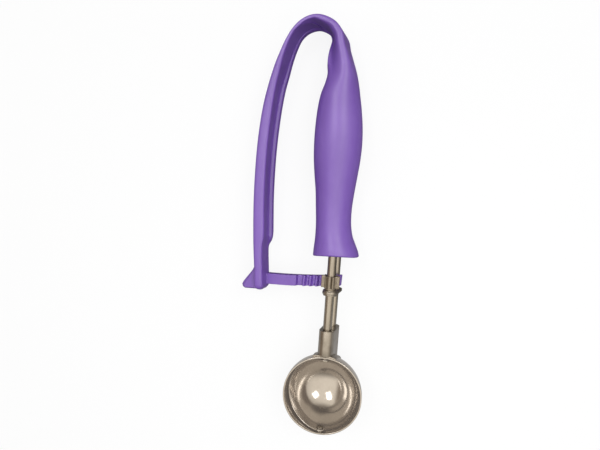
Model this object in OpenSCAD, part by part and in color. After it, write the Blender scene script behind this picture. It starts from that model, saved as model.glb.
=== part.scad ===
// Squeeze-handle ice cream scoop with a rack-driven scraper blade, in millimetres.
// The scoop lies on its back. The origin is the spot in the plane of the bowl's rim where the middle
// plane of the two rods cuts it, level with the bowl's middle. +Z is square to the rods, from the
// support rod to the shaft, +Y runs along the handle and +X is the grip's side, with the lever at -X.
// The bowl is turned a little on the shaft's axis, so it opens up and towards +X.

/* [Bowl] */
// Inner radius of the round bowl
bowl_r = 20.9; // [20.5:0.1:21.5]
// Thickness of the bowl's sheet
bowl_wall = 0.8; // [0.6:0.1:1.0]
// Depth of the scraper's axis below the rim
axis_drop = 3.5; // [3.2:0.1:3.8]
// Turn of the bowl on the shaft's axis, towards the grip's side, in degrees
bowl_turn = 8; // [6:1:9]

/* [Scraper] */
// Width of the scraper blade
blade_w = 6.4; // [5:0.2:7]
// Thickness of the scraper blade
blade_t = 0.7; // [0.5:0.1:0.9]
// Gap between the blade and the bowl
blade_gap = 0.6; // [0.5:0.1:0.7]
// How far the resting blade's middle line dips below the pivot line, in degrees
blade_dip = 13; // [11:1:20]

/* [Rods] */
// Diameter of the turning shaft and of the fixed support rod
rod_d = 4.76; // [4.6:0.02:4.8]
// Distance from the shaft's axis to the support rod's axis
rod_spacing = 11.6; // [11.5:0.1:12]
// Radial running clearance of the shaft in its bores
run_gap = 0.05; // [0.03:0.01:0.08]

/* [Pinion and rack] */
// Number of teeth on the pinion
pinion_teeth = 7; // [7:1:7]
// Module of the pinion and the rack
tooth_module = 1.15; // [1.1:0.01:1.16]
// Height of the pinion's middle above the bowl's centre
pinion_y = 62.9; // [62.5:0.1:63.2]
// Width of the pinion's face
pinion_w = 6.5; // [6:0.1:6.8]
// Width of the rack arm
rack_w = 6; // [5.6:0.1:6.2]
// Number of teeth cut in the rack
rack_teeth = 7; // [6:1:7]
// Tilt of the rack's teeth at rest, in degrees, so that they stand square at mid travel
rack_tilt = 2.2; // [1.8:0.1:2.4]

/* [Handle] */
// Middle plane of the grip and the strap
mid_z = -9.85; // [-9.9:0.05:-9.8]
// Half of the strap's depth
strap_hd = 10.75; // [10.6:0.05:10.8]
// Depth of the hollow in the grip's mouth
mouth_depth = 4; // [2:0.5:5]
// Rings made between two stations of the moulding
ring_steps = 3; // [2:1:3]

/* [Hidden] */
$fn = 64;

plastic = [0.54, 0.43, 0.75];
steel = [0.75, 0.73, 0.70];
rod_r = rod_d / 2;
rod_z = -axis_drop - rod_spacing;
bowl_out = bowl_r + bowl_wall;
eps = 0.5;

// ---- the moulding: stations along the grip, the loop and the lever -------------------------------
// Each station is [outer x, outer y, inner x, inner y, front z, rear z, strap share, recess depth,
// drop]. The outer side is the side away from the finger gap. A strap share of 0 gives the grip's oval,
// and 1 gives the strap's channel, which is open towards the finger gap. The drop is how far the front
// face falls off from the outer ridge to the inner edge.
function level(y, xo, xi, hd, w = 0, rd = 0, fd = 0) = [xo, y, xi, y, mid_z + hd, mid_z - hd, w, rd, fd];
function strap(xo, yo, xi, yi, rd, fd = 0, w = 1) =
  [xo, yo, xi, yi, mid_z + strap_hd, mid_z - strap_hd, w, rd, fd];
function bar(xo, yo, xi, yi, zf, zr, rd, fd = 0) = [xo, yo, xi, yi, zf, zr, 1, rd, fd];

GRIP_STATIONS = [
  level(75.4, 13.3, -12.4, 12.7), level(79.5, 12.4, -12.3, 12.4), level(84, 10.5, -12.0, 11.6),
  level(88.5, 8.6, -11.9, 10.8), level(95, 7.4, -12.1, 10.4), level(103, 7.2, -12.8, 10.3),
  level(112, 7.9, -13.6, 10.8), level(121, 8.9, -14.9, 11.8), level(130, 9.8, -15.9, 12.8),
  level(139, 10.1, -16.3, 13.3), level(148, 9.6, -16.2, 13.2), level(157, 8.4, -15.6, 12.7),
  level(164, 7.1, -14.4, 12.1, 0.04), level(170, 5.9, -12.5, 11.6, 0.14, 0, 1.2),
  level(175, 4.6, -11.6, 11.2, 0.32, 0.2, 3), level(180, 2.9, -12.2, 10.9, 0.52, 0.3, 5.5)
];
LOOP_STATIONS = [
  strap(0.8, 185, -12.1, 183.4, 0.4, 7.5, 0.75), strap(-1.4, 190.2, -11.7, 187.6, 0.4, 9.5, 0.92),
  strap(-3.1, 195.8, -11.4, 191.9, 0.4, 12), strap(-6.6, 200.5, -12.0, 195.9, 0.6, 15),
  strap(-11.4, 203.4, -14.0, 199.2, 1.0, 15), strap(-16.8, 204.8, -17.7, 201.3, 1.1, 11),
  bar(-22.1, 204.1, -21.4, 201.7, 0.9, -20.0, 0.9, 4), bar(-27.0, 201.4, -25.9, 199.7, 0.9, -18.4, 0.7),
  bar(-31.0, 197.1, -29.6, 196.1, 0.9, -17.9, 0.6), bar(-34.3, 191.4, -32.5, 190.6, 0.9, -18.9, 0.8),
  bar(-37.1, 184.8, -34.9, 184.0, 0.9, -20.0, 1.1)
];
LEVER_STATIONS = [
  strap(-39.6, 178, -36.6, 176.9, 1.5), strap(-42.2, 168.5, -38.6, 167.6, 1.8),
  strap(-44.5, 157.5, -40.0, 156.8, 1.9), strap(-46.0, 145, -41, 144.6, 2), strap(-46.8, 132, -41.6, 131.9, 2),
  strap(-47.0, 118, -41.7, 118, 2), strap(-46.8, 105, -41.4, 105.1, 2), strap(-46.3, 94, -40.8, 94.3, 2),
  strap(-45.7, 85, -40.3, 85.3, 2),
  bar(-45.4, 81, -40.1, 81.3, 0.9, -18.6, 1.2), bar(-45.1, 78, -39.9, 78.3, 0.9, -13.4, 0.3),
  bar(-44.7, 74, -39.6, 74.3, 0.9, -12.4, 0.05), bar(-43.8, 65, -38.8, 65.3, 0.9, -12.4, 0.05),
  bar(-43.1, 56.4, -38.1, 56.6, 0.9, -12.4, 0.05), bar(-42.2, 54.4, -38.9, 54.5, -0.3, -11.4, 0.05)
];
STATIONS = concat(GRIP_STATIONS, LOOP_STATIONS, LEVER_STATIONS);
grip_end = (len(GRIP_STATIONS) + 1) * ring_steps;
loop_end = (len(GRIP_STATIONS) + len(LOOP_STATIONS)) * ring_steps;

// Smooth curve through four stations, from b at u = 0 to c at u = 1
function between(a, b, c, d, u) =
  0.5 * (2 * b + (c - a) * u + (2 * a - 5 * b + 4 * c - d) * u * u + (3 * b - a - 3 * c + d) * u * u * u);
function smooth(list) = [
  for (i = [0 : len(list) - 2], j = [0 : ring_steps - 1])
    between(list[max(i - 1, 0)], list[i], list[i + 1], list[min(i + 2, len(list) - 1)], j / ring_steps),
  list[len(list) - 1]
];

// Half of the channel's outline, from the middle of its outer face round the front bead to the middle of
// its recess, as [distance in from the outer face, height above the middle plane]
bead_rz = 2.0;
bead_wz = 4.0;
squareness = 0.65;
ridge = 1.6;
deep_fall = 9;
ridge_gain = 0.2;
ridge_share = 0.7;
slope_share = 0.78;
front_gain = 0.55;
OVAL_ANGLES = [0, 20, 40, 56, 73, 90, 105, 120, 135, 150, 165, 180];
function channel_half(t, h, rd) = concat(
  [[0, 0], [0, (h - bead_rz) / 2], [0, h - bead_rz]],
  [
    for (a = [30, 60, 90, 120, 150])
      [
        t / 2 * (1 - sign(cos(a)) * pow(abs(cos(a)), squareness)),
        h - bead_rz + bead_rz * pow(sin(a), squareness)
      ]
  ],
  [[t, h - bead_rz], [t, h - bead_wz], [t - rd, h - bead_wz - rd * 0.4], [t - rd, 0]]
);
function oval_half(t, h) = [for (a = OVAL_ANGLES) [t / 2 * (1 - cos(a)), h * sin(a)]];
function outline(t, h, w, rd) =
  let (half = oval_half(t, h) * (1 - w) + channel_half(t, h, rd) * w, n = len(half))
    concat(half, [for (i = [n - 2 : -1 : 1]) [half[i][0], -half[i][1]]]);
// A point of a section with the front face sloped down to the inner edge, and the front bead made wider
function shaped(p, t, h, s) =
  let (
    start = min(ridge + max(0, s[8] - deep_fall) * ridge_gain, ridge_share * t),
    slope = max(0, min(1, (p[0] - start) / (t - start) / slope_share)),
    up = p[1] - s[8] * slope * slope * (3 - 2 * slope) * (p[1] + h) / (2 * h),
    forward = max(0, min(1, (up + h - bead_wz) / (2 * h - bead_wz)))
  )
    [p[0] * (1 + front_gain * s[7] * s[6] * forward / t), up];
function ring(s) =
  let (
    run = [s[2] - s[0], s[3] - s[1]],
    t = norm(run),
    dir = run / t,
    middle = (s[4] + s[5]) / 2,
    h = (s[4] - s[5]) / 2
  )
    [
      for (q = outline(t, h, s[6], s[7]))
        let (p = shaped(q, t, h, s))
          [s[0] + dir[0] * p[0], s[1] + dir[1] * p[0], middle + p[1]]
    ];

// Triangles of an end face: the front half's bead and web, and the same mirrored to the rear half
floor_edge = 10;
ring_size = 22;
HALF_FACE = concat(
  [[0, 1, floor_edge + 1], [1, floor_edge, floor_edge + 1]],
  [for (j = [1 : floor_edge - 2]) [j, j + 1, floor_edge]]
);
function rear(j) = (ring_size - j) % ring_size;
END_FACE = concat(HALF_FACE, [for (f = HALF_FACE) [rear(f[0]), rear(f[2]), rear(f[1])]]);

// Solid skinned over the rings first to last of the moulding
module moulding(first, last) {
  all = smooth(STATIONS);
  rings = [for (i = [first : last]) ring(all[i])];
  n = len(rings[0]);
  m = len(rings);
  points = [for (r = rings, p = r) p];
  sides = [
    for (i = [0 : m - 2], j = [0 : n - 1], k = [0, 1])
      let (a = i * n + j, b = i * n + (j + 1) % n)
        k == 0 ? [a, b, b + n] : [a, b + n, a + n]
  ];
  start = [for (f = END_FACE) [f[0], f[2], f[1]]];
  finish = [for (f = END_FACE) [f[0], f[1], f[2]] + (m - 1) * n * [1, 1, 1]];
  polyhedron(points, concat(sides, start, finish));
}

// ---- helpers ---------------------------------------------------------------------------------------
module rod(r, y0, y1, z) {
  translate([0, y1, z])
    rotate([90, 0, 0])
      cylinder(r = r, h = y1 - y0);
}

// Ring round an axis along Y
module washer(r_out, r_in, y0, y1, z) {
  difference() {
    rod(r_out, y0, y1, z);
    rod(r_in, y0 - eps, y1 + eps, z);
  }
}

// Plate or block that spans both rods, with rounded ends
module rod_bridge(r, y0, y1) {
  rod(r, y0, y1, -axis_drop);
  rod(r, y0, y1, rod_z);
  translate([-r, y0, rod_z])
    cube([2 * r, y1 - y0, rod_spacing]);
}

module both_bores(y0, y1) {
  rod(rod_r + run_gap, y0, y1, -axis_drop);
  rod(rod_r, y0, y1, rod_z);
}

module on_axis() {
  translate([0, 0, -axis_drop])
    children();
}

// Lower half of a ball with a straight collar up to the height top above the rim, all turned on the
// shaft's axis
module cup(r, top) {
  on_axis()
    rotate([0, bowl_turn, 0]) {
      intersection() {
        sphere(r);
        translate([-2 * r, -2 * r, -2 * r])
          cube([4 * r, 4 * r, 2 * r]);
      }
      cylinder(r = r, h = axis_drop * cos(bowl_turn) + top);
    }
}

// ---- handle ----------------------------------------------------------------------------------------
mouth_y = 76;
mouth_r = 9.7;
mouth_curve = 70;
shaft_top = 114;
rod_top = 150;

module grip() {
  color(plastic)
    difference() {
      intersection() {
        moulding(0, grip_end);
        translate([-40, mouth_y + mouth_curve, mid_z])
          rotate([0, 90, 0])
            cylinder(r = mouth_curve, h = 80, $fn = 180);
      }
      rod(mouth_r, mouth_y - 1, mouth_y + mouth_depth, mid_z);
      rod(rod_r + run_gap, mouth_y, shaft_top + 1, -axis_drop);
      rod(rod_r, mouth_y, rod_top, rod_z);
    }
}

module flex_loop() {
  color(plastic)
    moulding(grip_end, loop_end);
}

heel_front = -3.4;
heel_rear = -11;
toe_r = 2;
HEEL = [[-41, 68], [-44.6, 68.2], [-46.6, 63.8], [-51.6, 57], [-50.2, 53.2], [-41, 53.6]];

module lever_arm() {
  color(plastic) {
    moulding(loop_end, len(smooth(STATIONS)) - 1);
    translate([0, 0, heel_rear])
      linear_extrude(heel_front - heel_rear) {
        polygon(HEEL);
        translate([-50.2, 55.2])
          circle(toe_r);
      }
  }
}

// ---- rack and pinion -------------------------------------------------------------------------------
pitch_r = pinion_teeth * tooth_module / 2;
tooth_pitch = PI * tooth_module;
tip_r = pitch_r + tooth_module;
root_r = 3.05;
rack_tip = 0.75;
rack_root = 1.35;
rack_z = -axis_drop - pitch_r;
rack_back = -12.4;
flank = 20;
rack_tooth = 1.4;
crest_half = rack_tooth / 2 - rack_tip * tan(flank);
root_half = rack_tooth / 2 + rack_root * tan(flank);
rack_left = -40.5;
rack_right = 4.4;
run_out = 1.4;

// The arm rises towards the pinion on a gentle curve
arm_low = 59.6;
arm_slope = 0.022;
arm_bend = 0.0013;
arm_steps = 8;
ARM_LINE = [
  for (i = [0 : arm_steps])
    let (run = (rack_right - rack_left) * i / arm_steps)
      [rack_left + run, arm_low + arm_slope * run + arm_bend * run * run]
];
function arm_side(s) = [for (p = ARM_LINE) [p[0], p[1] + s * rack_w / 2]];
function flipped(list) = [for (i = [len(list) - 1 : -1 : 0]) list[i]];

// One gap faces the pinion's axis at rest. The last one at the lever's end runs out a little further.
function rack_gap(i) =
  let (x = -i * tooth_pitch, half = tooth_pitch / 2, far = i == rack_teeth - 2 ? run_out : 0)
    [
      [x + half - crest_half, rack_z + rack_tip], [x + half - root_half, rack_z - rack_root],
      [x - half + root_half - far, rack_z - rack_root], [x - half + crest_half - far, rack_z + rack_tip]
    ];
RACK_PROFILE = concat(
  [[rack_left - eps, rack_back], [rack_left - eps, rack_z + rack_tip]],
  flipped([for (i = [-1 : rack_teeth - 2]) each rack_gap(i)]),
  [[rack_right + 4, rack_z + rack_tip], [rack_right + 4, rack_back]]
);

module rack_arm() {
  color(plastic)
    intersection() {
      translate([0, 0, rack_back - eps])
        linear_extrude(12)
          polygon(concat(arm_side(1), flipped(arm_side(-1))));
      translate([0, pinion_y, 0])
        rotate([0, 0, -rack_tilt])
          translate([0, 10, 0])
            rotate([90, 0, 0])
              linear_extrude(20)
                polygon(RACK_PROFILE);
    }
}

// Half-angles of a pinion tooth at its root, its pitch circle and its tip
TOOTH = [[root_r, 14.6], [pitch_r, 9.7], [tip_r, 3.3]];
function polar(r, a) = [r * sin(a), -r * cos(a)];
function pinion_outline() = [
  for (i = [0 : pinion_teeth - 1], s = [-1, 1], k = [0 : 2])
    let (q = s < 0 ? TOOTH[k] : TOOTH[2 - k])
      polar(q[0], i * 360 / pinion_teeth + s * q[1])
];
pinion_low = pinion_y - pinion_w / 2;
pinion_high = pinion_y + pinion_w / 2;
hub_low = 58.3;
hub_r = 3.1;
chamfer = 0.7;

module pinion() {
  color(steel)
    difference() {
      union() {
        intersection() {
          translate([0, pinion_high, -axis_drop])
            rotate([90, 0, 0])
              linear_extrude(pinion_w)
                polygon(pinion_outline());
          translate([0, pinion_y, -axis_drop])
            rotate([90, 0, 0])
              rotate_extrude()
                polygon([
                  [0, -pinion_w], [tip_r - chamfer, -pinion_w / 2], [tip_r + 0.1, chamfer - pinion_w / 2],
                  [tip_r + 0.1, pinion_w / 2 - chamfer], [tip_r - chamfer, pinion_w / 2], [0, pinion_w]
                ]);
        }
        rod(hub_r, hub_low, pinion_low, -axis_drop);
      }
      rod(rod_r, hub_low - eps, pinion_high + eps, -axis_drop);
    }
}

// ---- shaft, support rod and neck -------------------------------------------------------------------
guide_low = 56.2;
guide_t = 1.5;
guide_r = 4.2;
block_top = 36;
block_r = 4.3;
saddle_t = 1;
saddle_half = 6.5;
saddle_seat = bowl_out + saddle_t;
journal_r = 1.6;
journal_top = saddle_seat + 0.1;

// The blade is a strip bent to a half circle that sweeps a ball of this radius. Its end tabs lie from
// tab_in to tab_out, measured along the shaft's axis from the bowl's middle.
sweep_r = bowl_r - blade_gap;
strip_out = sqrt(sweep_r * sweep_r - blade_w * blade_w / 4);
tab_out = strip_out - 0.05;
tab_in = tab_out - blade_t;
rivet_t = 0.7;
collar_r = 2.4;
collar_top = tab_in - 0.14;

module scraper_shaft() {
  color(steel) {
    rod(rod_r, journal_top, shaft_top, -axis_drop);
    rod(journal_r, collar_top, journal_top, -axis_drop);
    rod(collar_r, collar_top - rivet_t, collar_top, -axis_drop);
  }
}

module support_rod() {
  color(steel)
    rod(rod_r, 22, rod_top, rod_z);
}

module shaft_guide() {
  color(steel)
    difference() {
      rod_bridge(guide_r, guide_low, guide_low + guide_t);
      both_bores(guide_low - eps, guide_low + guide_t + eps);
    }
}

module thrust_washer() {
  color(steel)
    washer(4, rod_r, guide_low + guide_t + 0.05, hub_low, -axis_drop);
}

module retaining_ring() {
  color(steel)
    washer(3.7, rod_r, guide_low - 0.85, guide_low - 0.05, -axis_drop);
}

module neck_block() {
  color(steel)
    difference() {
      rod_bridge(block_r, 12, block_top);
      both_bores(0, block_top + eps);
      on_axis()
        sphere(saddle_seat);
      translate([-10, -1, -40])
        cube([20, 13.1, 60]);
    }
}

module bowl_saddle() {
  color(steel)
    difference() {
      intersection() {
        on_axis()
          sphere(saddle_seat);
        translate([-saddle_half, 8, -18.5])
          cube([2 * saddle_half, 30, 17.7]);
      }
      cup(bowl_out, 5);
      rod(rod_r + run_gap, 5, 30, -axis_drop);
    }
}

// ---- bowl and scraper blade ------------------------------------------------------------------------
pin_r = 1.2;

module bowl() {
  color(steel)
    difference() {
      cup(bowl_out, 0);
      cup(bowl_r, 1);
      rod(journal_r + run_gap, 5, 30, -axis_drop);
      rod(pin_r, -30, -5, -axis_drop);
    }
}

// A rivet through the bowl's tip. Its inner head leaves the blade's tab a little room to turn.
rivet_head_r = 1.9;
rivet_head_t = 0.9;
pivot_end = 0.1 - tab_in;

module tip_pivot() {
  color(steel) {
    rod(pin_r, -bowl_out, pivot_end, -axis_drop);
    rod(rivet_head_r, -bowl_out - rivet_head_t, -bowl_out, -axis_drop);
    rod(rivet_head_r, pivot_end, pivot_end + rivet_t, -axis_drop);
  }
}

washer_r = 2.1;

module tip_washer() {
  color(steel)
    washer(washer_r, pin_r, 0.12 - bowl_r, -0.1 - strip_out, -axis_drop);
}

module neck_washer() {
  color(steel)
    washer(washer_r, journal_r, strip_out + 0.02, bowl_r - 0.35, -axis_drop);
}

// The strip with a round tab at each end that turns about the shaft's axis
module scraper_blade() {
  color(steel)
    difference() {
      union() {
        on_axis()
          rotate([0, -blade_dip, 0])
            rotate([0, 0, 90])
              rotate_extrude(angle = 180)
                translate([strip_out - blade_t, -blade_w / 2])
                  square([blade_t, blade_w]);
        rod(blade_w / 2, tab_in, tab_out, -axis_drop);
        rod(blade_w / 2, -tab_out, -tab_in, -axis_drop);
      }
      rod(journal_r, 10, 30, -axis_drop);
      rod(pin_r + run_gap, -30, -10, -axis_drop);
    }
}

grip();
flex_loop();
lever_arm();
rack_arm();
support_rod();
shaft_guide();
neck_block();
bowl_saddle();
bowl();
tip_pivot();
tip_washer();
scraper_shaft();
pinion();
thrust_washer();
retaining_ring();
neck_washer();
scraper_blade();
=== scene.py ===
# %% [markdown]
# # A squeeze-handle ice cream scoop
# One springy moulding makes the grip, the bend over the top, the squeeze lever and the toothed arm.
# Squeezing the lever pushes the toothed arm past a small gear. The gear turns the shaft, and the shaft
# sweeps a scraper blade through the round bowl. The imported CAD model is the fixed frame of all that
# follows. Each piece made here rides on one of its bodies, except the bend, which is put on none and stays
# where it is made. Sizes are in millimetres until a mesh is finished, because the voxel tools and the eye
# both like them better than metres.

import math

import bmesh
import bpy
import numpy as np
from mathutils import Matrix, Vector


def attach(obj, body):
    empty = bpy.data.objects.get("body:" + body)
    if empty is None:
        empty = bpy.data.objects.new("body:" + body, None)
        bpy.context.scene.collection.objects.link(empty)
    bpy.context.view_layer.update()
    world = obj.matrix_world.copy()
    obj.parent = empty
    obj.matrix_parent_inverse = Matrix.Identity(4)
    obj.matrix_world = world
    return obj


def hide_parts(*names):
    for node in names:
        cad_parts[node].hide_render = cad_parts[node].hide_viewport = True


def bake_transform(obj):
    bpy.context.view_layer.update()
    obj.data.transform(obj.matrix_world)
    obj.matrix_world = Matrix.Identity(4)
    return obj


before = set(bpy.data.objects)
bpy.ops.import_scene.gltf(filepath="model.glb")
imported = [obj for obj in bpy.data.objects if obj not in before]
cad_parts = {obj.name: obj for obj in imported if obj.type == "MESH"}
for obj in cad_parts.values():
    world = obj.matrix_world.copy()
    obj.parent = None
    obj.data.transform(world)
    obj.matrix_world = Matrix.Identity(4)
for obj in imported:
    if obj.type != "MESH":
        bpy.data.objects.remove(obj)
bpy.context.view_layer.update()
MM = 0.001

# %% [markdown]
# ## One small class for all nodes
# A node tree is easier to read as sums than as a list of links. The class below wraps one socket. Plus,
# minus, times and divide on it add Math nodes, and `add` makes any other node: its settings go in first,
# then the values or the wrapped sockets of its inputs. The same class serves the materials and the
# Geometry Nodes trees.

# %% Sockets that can be added and multiplied
class Flow:
    """A socket of a node tree, or the bare tree, that nodes are added to."""

    def __init__(self, tree, socket=None):
        self.tree, self.socket = tree, socket

    def add(self, kind, settings=None, inputs=None, out=0):
        node = self.tree.nodes.new(kind)
        for name, value in (settings or {}).items():
            setattr(node, name, value)
        for name, value in (inputs or {}).items():
            if isinstance(value, Flow):
                self.tree.links.new(value.socket, node.inputs[name])
            else:
                node.inputs[name].default_value = value
        return Flow(self.tree, node.outputs[out])

    def math(self, operation, *values):
        """A Math node on these values, or on this socket alone."""
        return self.add("ShaderNodeMath", {"operation": operation}, dict(enumerate(values or (self,))))

    def __add__(self, other):
        return self.math("ADD", self, other)

    def __sub__(self, other):
        return self.math("SUBTRACT", self, other)

    def __rsub__(self, other):
        return self.math("SUBTRACT", other, self)

    def __mul__(self, other):
        return self.math("MULTIPLY", self, other)

    def __truediv__(self, other):
        return self.math("DIVIDE", self, other)

    __radd__, __rmul__ = __add__, __mul__

    def between(self, low, high):
        """0 below low, 1 above high, and a smooth rise from one to the other."""
        return self.add("ShaderNodeMapRange", {"interpolation_type": "SMOOTHSTEP"},
                        {"Value": self, "From Min": low, "From Max": high})

    def blend(self, first, second):
        """The first colour where this is 0, and the second where it is 1."""
        return self.add("ShaderNodeMix", {"data_type": "RGBA"}, {0: self, 6: first, 7: second}, out=2)

    def axis(self, number):
        """One coordinate of a vector: 0 for x, 1 for y, 2 for z."""
        return self.add("ShaderNodeSeparateXYZ", {}, {0: self}, out=number)


# %% [markdown]
# ## Finishes
# Every finish reads Object coordinates, so a pattern keeps its real size and stays put when a body moves.
# The coordinates are in metres, so a noise scale of 1000 makes patches of about a millimetre.

# %% What all finishes share
def finish(name, **constants):
    """A new material: gives it, its bare tree and its main shader, with these constant inputs."""
    material = bpy.data.materials.new(name)
    material.use_nodes = True
    shader = next(n for n in material.node_tree.nodes if n.type == "BSDF_PRINCIPLED")
    for socket, value in constants.items():
        shader.inputs[socket.replace("_", " ")].default_value = value
    return material, Flow(material.node_tree), shader


def link(tree, shader, **sockets):
    """Feeds each named input of the shader from a wrapped socket."""
    for name, flow in sockets.items():
        tree.tree.links.new(flow.socket, shader.inputs[name.replace("_", " ")])


def stretched(tree, x=1.0, y=1.0, z=1.0):
    """Object coordinates, multiplied along each axis. A small number makes a pattern long that way."""
    place = tree.add("ShaderNodeTexCoord", out="Object")
    return tree.add("ShaderNodeMapping", {}, {"Vector": place, "Scale": (x, y, z)})


def noise(tree, place, scale, detail=2.0, rough=0.5):
    inputs = {"Vector": place, "Scale": scale, "Detail": detail, "Roughness": rough}
    return tree.add("ShaderNodeTexNoise", {}, inputs)


def bump(tree, height, distance, strength=1.0):
    return tree.add("ShaderNodeBump", {}, {"Height": height, "Distance": distance, "Strength": strength})


def rgb(r, g, b):
    return (r, g, b, 1.0)


# %% [markdown]
# The handle is glass-filled nylon from a spark-eroded mould. It has a satin skin with a grain of about a
# quarter of a millimetre, a colour that drifts a little from place to place, and a few hair-thin rubs
# from handling. A fine parting line runs round it in its middle plane.

# %% Satin purple nylon
MID_Z = -9.85
SEAM_CORE, SEAM_EDGE = 0.00006, 0.00022


def make_nylon():
    material, tree, shader = finish("satin_purple_nylon", Specular_IOR_Level=0.9, Coat_Roughness=0.36)
    place = stretched(tree)
    drift = noise(tree, place, 26, detail=3)
    grain = noise(tree, place, 3600, detail=3, rough=0.6)
    haze = noise(tree, stretched(tree, 1, 0.25, 1), 420, detail=4, rough=0.65)
    rubs = noise(tree, stretched(tree, 1, 0.06, 1), 1500, detail=1).between(0.70, 0.80)
    skin = drift.between(0.3, 0.7).blend(rgb(0.158, 0.068, 0.378), rgb(0.184, 0.086, 0.424))
    skin = (haze.between(0.35, 0.75) * 0.08).blend(skin, rgb(0.30, 0.20, 0.56))
    height = tree.add("ShaderNodeTexCoord", out="Object").axis(2)
    seam = 1 - (height - MID_Z * MM).math("ABSOLUTE").between(SEAM_CORE, SEAM_EDGE)
    link(tree, shader, Base_Color=skin,
         Roughness=0.36 + haze * 0.09 + grain * 0.05 - rubs * 0.07,
         Coat_Weight=0.02 + drift * 0.03,
         Normal=bump(tree, grain * 0.35 + seam * 1.1 - rubs * 0.15, 0.00004, 0.55))
    return material


nylon = make_nylon()

# %% [markdown]
# The bowl and the blade are stainless steel, spun and polished almost to a mirror. What gives them away
# is small: rings left by the spinning, a breath of haze, and a few wiping marks. The rings run round the
# upright axis, so their pattern depends almost only on height. The colour is written darker than such
# steel is, because the dome that it mirrors is brighter than white overhead. Real steel gives off no
# light: the faint emission stands in for what is lost between mirror bounces.

# %% Polished steel
def make_polished():
    material, tree, shader = finish("polished_steel", Metallic=0.96, Emission_Strength=1.0,
                                    Emission_Color=rgb(0.046, 0.039, 0.034))
    place = stretched(tree)
    rings = noise(tree, stretched(tree, 0.02, 0.02, 1), 5200, detail=4, rough=0.7)
    haze = noise(tree, place, 95, detail=4, rough=0.6)
    wipes = noise(tree, stretched(tree, 1, 0.12, 1), 900, detail=2)
    tone = haze.between(0.3, 0.75).blend(rgb(0.45, 0.42, 0.385), rgb(0.385, 0.355, 0.32))
    link(tree, shader, Base_Color=tone,
         Roughness=0.10 + haze.between(0.45, 0.8) * 0.08 + wipes.between(0.6, 0.75) * 0.04 + rings * 0.03,
         Normal=bump(tree, rings + haze * 0.4, 0.000004, 0.14))
    return material


polished = make_polished()

# %% [markdown]
# The rods are drawn and then belted lengthwise, so their scratches are long along the rod and hair-thin
# across it. Stretching the noise along Y does that.

# %% Drawn rod
def make_drawn():
    material, tree, shader = finish("drawn_steel", Metallic=1.0)
    hairs = noise(tree, stretched(tree, 1, 0.012, 1), 6500, detail=3, rough=0.7)
    bands = noise(tree, stretched(tree, 1, 0.15, 1), 260, detail=3)
    streaks = hairs * 0.5 + bands * 0.5
    tone = streaks.between(0.3, 0.7).blend(rgb(0.33, 0.295, 0.25), rgb(0.47, 0.435, 0.38))
    link(tree, shader, Base_Color=tone,
         Roughness=0.17 + hairs * 0.14 + bands * 0.06,
         Normal=bump(tree, hairs, 0.00001, 0.4))
    return material


drawn = make_drawn()

# %% [markdown]
# The pinion is pressed and sintered from powder. It is darker and duller than the rods, with a fine
# pitted grain.

# %% Sintered steel
def make_sintered():
    material, tree, shader = finish("sintered_steel", Metallic=1.0)
    place = stretched(tree)
    grit = noise(tree, place, 4200, detail=4, rough=0.7)
    cloud = noise(tree, place, 420, detail=3)
    pits = grit * 0.6 + cloud * 0.4
    tone = pits.between(0.3, 0.7).blend(rgb(0.22, 0.19, 0.155), rgb(0.36, 0.32, 0.265))
    link(tree, shader, Base_Color=tone,
         Roughness=0.34 + grit * 0.16,
         Normal=bump(tree, grit, 0.00003, 0.5))
    return material


sintered = make_sintered()

# %% [markdown]
# The guide plate, the neck, the saddle, the washers and the rivet are tumbled, which leaves a grain with
# no direction, a satin sheen and a few darker water marks.

# %% Tumbled steel
def make_tumbled():
    material, tree, shader = finish("tumbled_steel", Metallic=1.0)
    place = stretched(tree)
    grain = noise(tree, place, 2600, detail=4, rough=0.7)
    marks = noise(tree, place, 210, detail=4, rough=0.6)
    tone = marks.between(0.35, 0.7).blend(rgb(0.42, 0.385, 0.34), rgb(0.33, 0.30, 0.26))
    link(tree, shader, Base_Color=tone,
         Roughness=0.22 + grain * 0.14 + marks * 0.08,
         Normal=bump(tree, grain, 0.000015, 0.45))
    return material


tumbled = make_tumbled()
print("finishes:", [m.name for m in (nylon, polished, drawn, sintered, tumbled)])

# %% [markdown]
# ## From points to a finished piece
# A finished piece keeps its place in its mesh and its object at the origin. These helpers turn points in
# millimetres into such a piece, with its faces outwards, smooth shading and crisp edges where two faces
# meet at a sharp angle.

# %% Making and keeping a piece
def solid(name, points, faces):
    """A new object from points in millimetres, merged and with its faces outwards."""
    mesh = bpy.data.meshes.new(name)
    mesh.from_pydata([tuple(p) for p in points], [], faces)
    work = bmesh.new()
    work.from_mesh(mesh)
    bmesh.ops.remove_doubles(work, verts=work.verts, dist=1e-5)
    bmesh.ops.recalc_face_normals(work, faces=work.faces)
    work.to_mesh(mesh)
    work.free()
    piece = bpy.data.objects.new(name, mesh)
    bpy.context.collection.objects.link(piece)
    return piece


def applied(piece, *modifiers):
    """Adds each modifier, given as (type, settings), and keeps the result as a plain mesh."""
    for kind, settings in modifiers:
        modifier = piece.modifiers.new(kind.lower(), kind)
        for name, value in settings.items():
            setattr(modifier, name, value)
    bpy.context.view_layer.update()
    mesh = bpy.data.meshes.new_from_object(piece.evaluated_get(bpy.context.evaluated_depsgraph_get()))
    piece.modifiers.clear()
    piece.data = mesh
    return piece


def keep(piece, body, material, replaced, crisp=35):
    """Scales the mesh to metres, shades it, gives it its finish and puts it on its body."""
    mesh = piece.data
    mesh.transform(Matrix.Scale(MM, 4))
    mesh.shade_smooth()
    mesh.set_sharp_from_angle(angle=math.radians(crisp))
    mesh.materials.clear()
    mesh.materials.append(material)
    if body:
        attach(piece, body)
    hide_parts(*replaced)
    mesh.calc_loop_triangles()
    print(f"{piece.name}: {len(mesh.loop_triangles)} triangles")
    return piece


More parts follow.
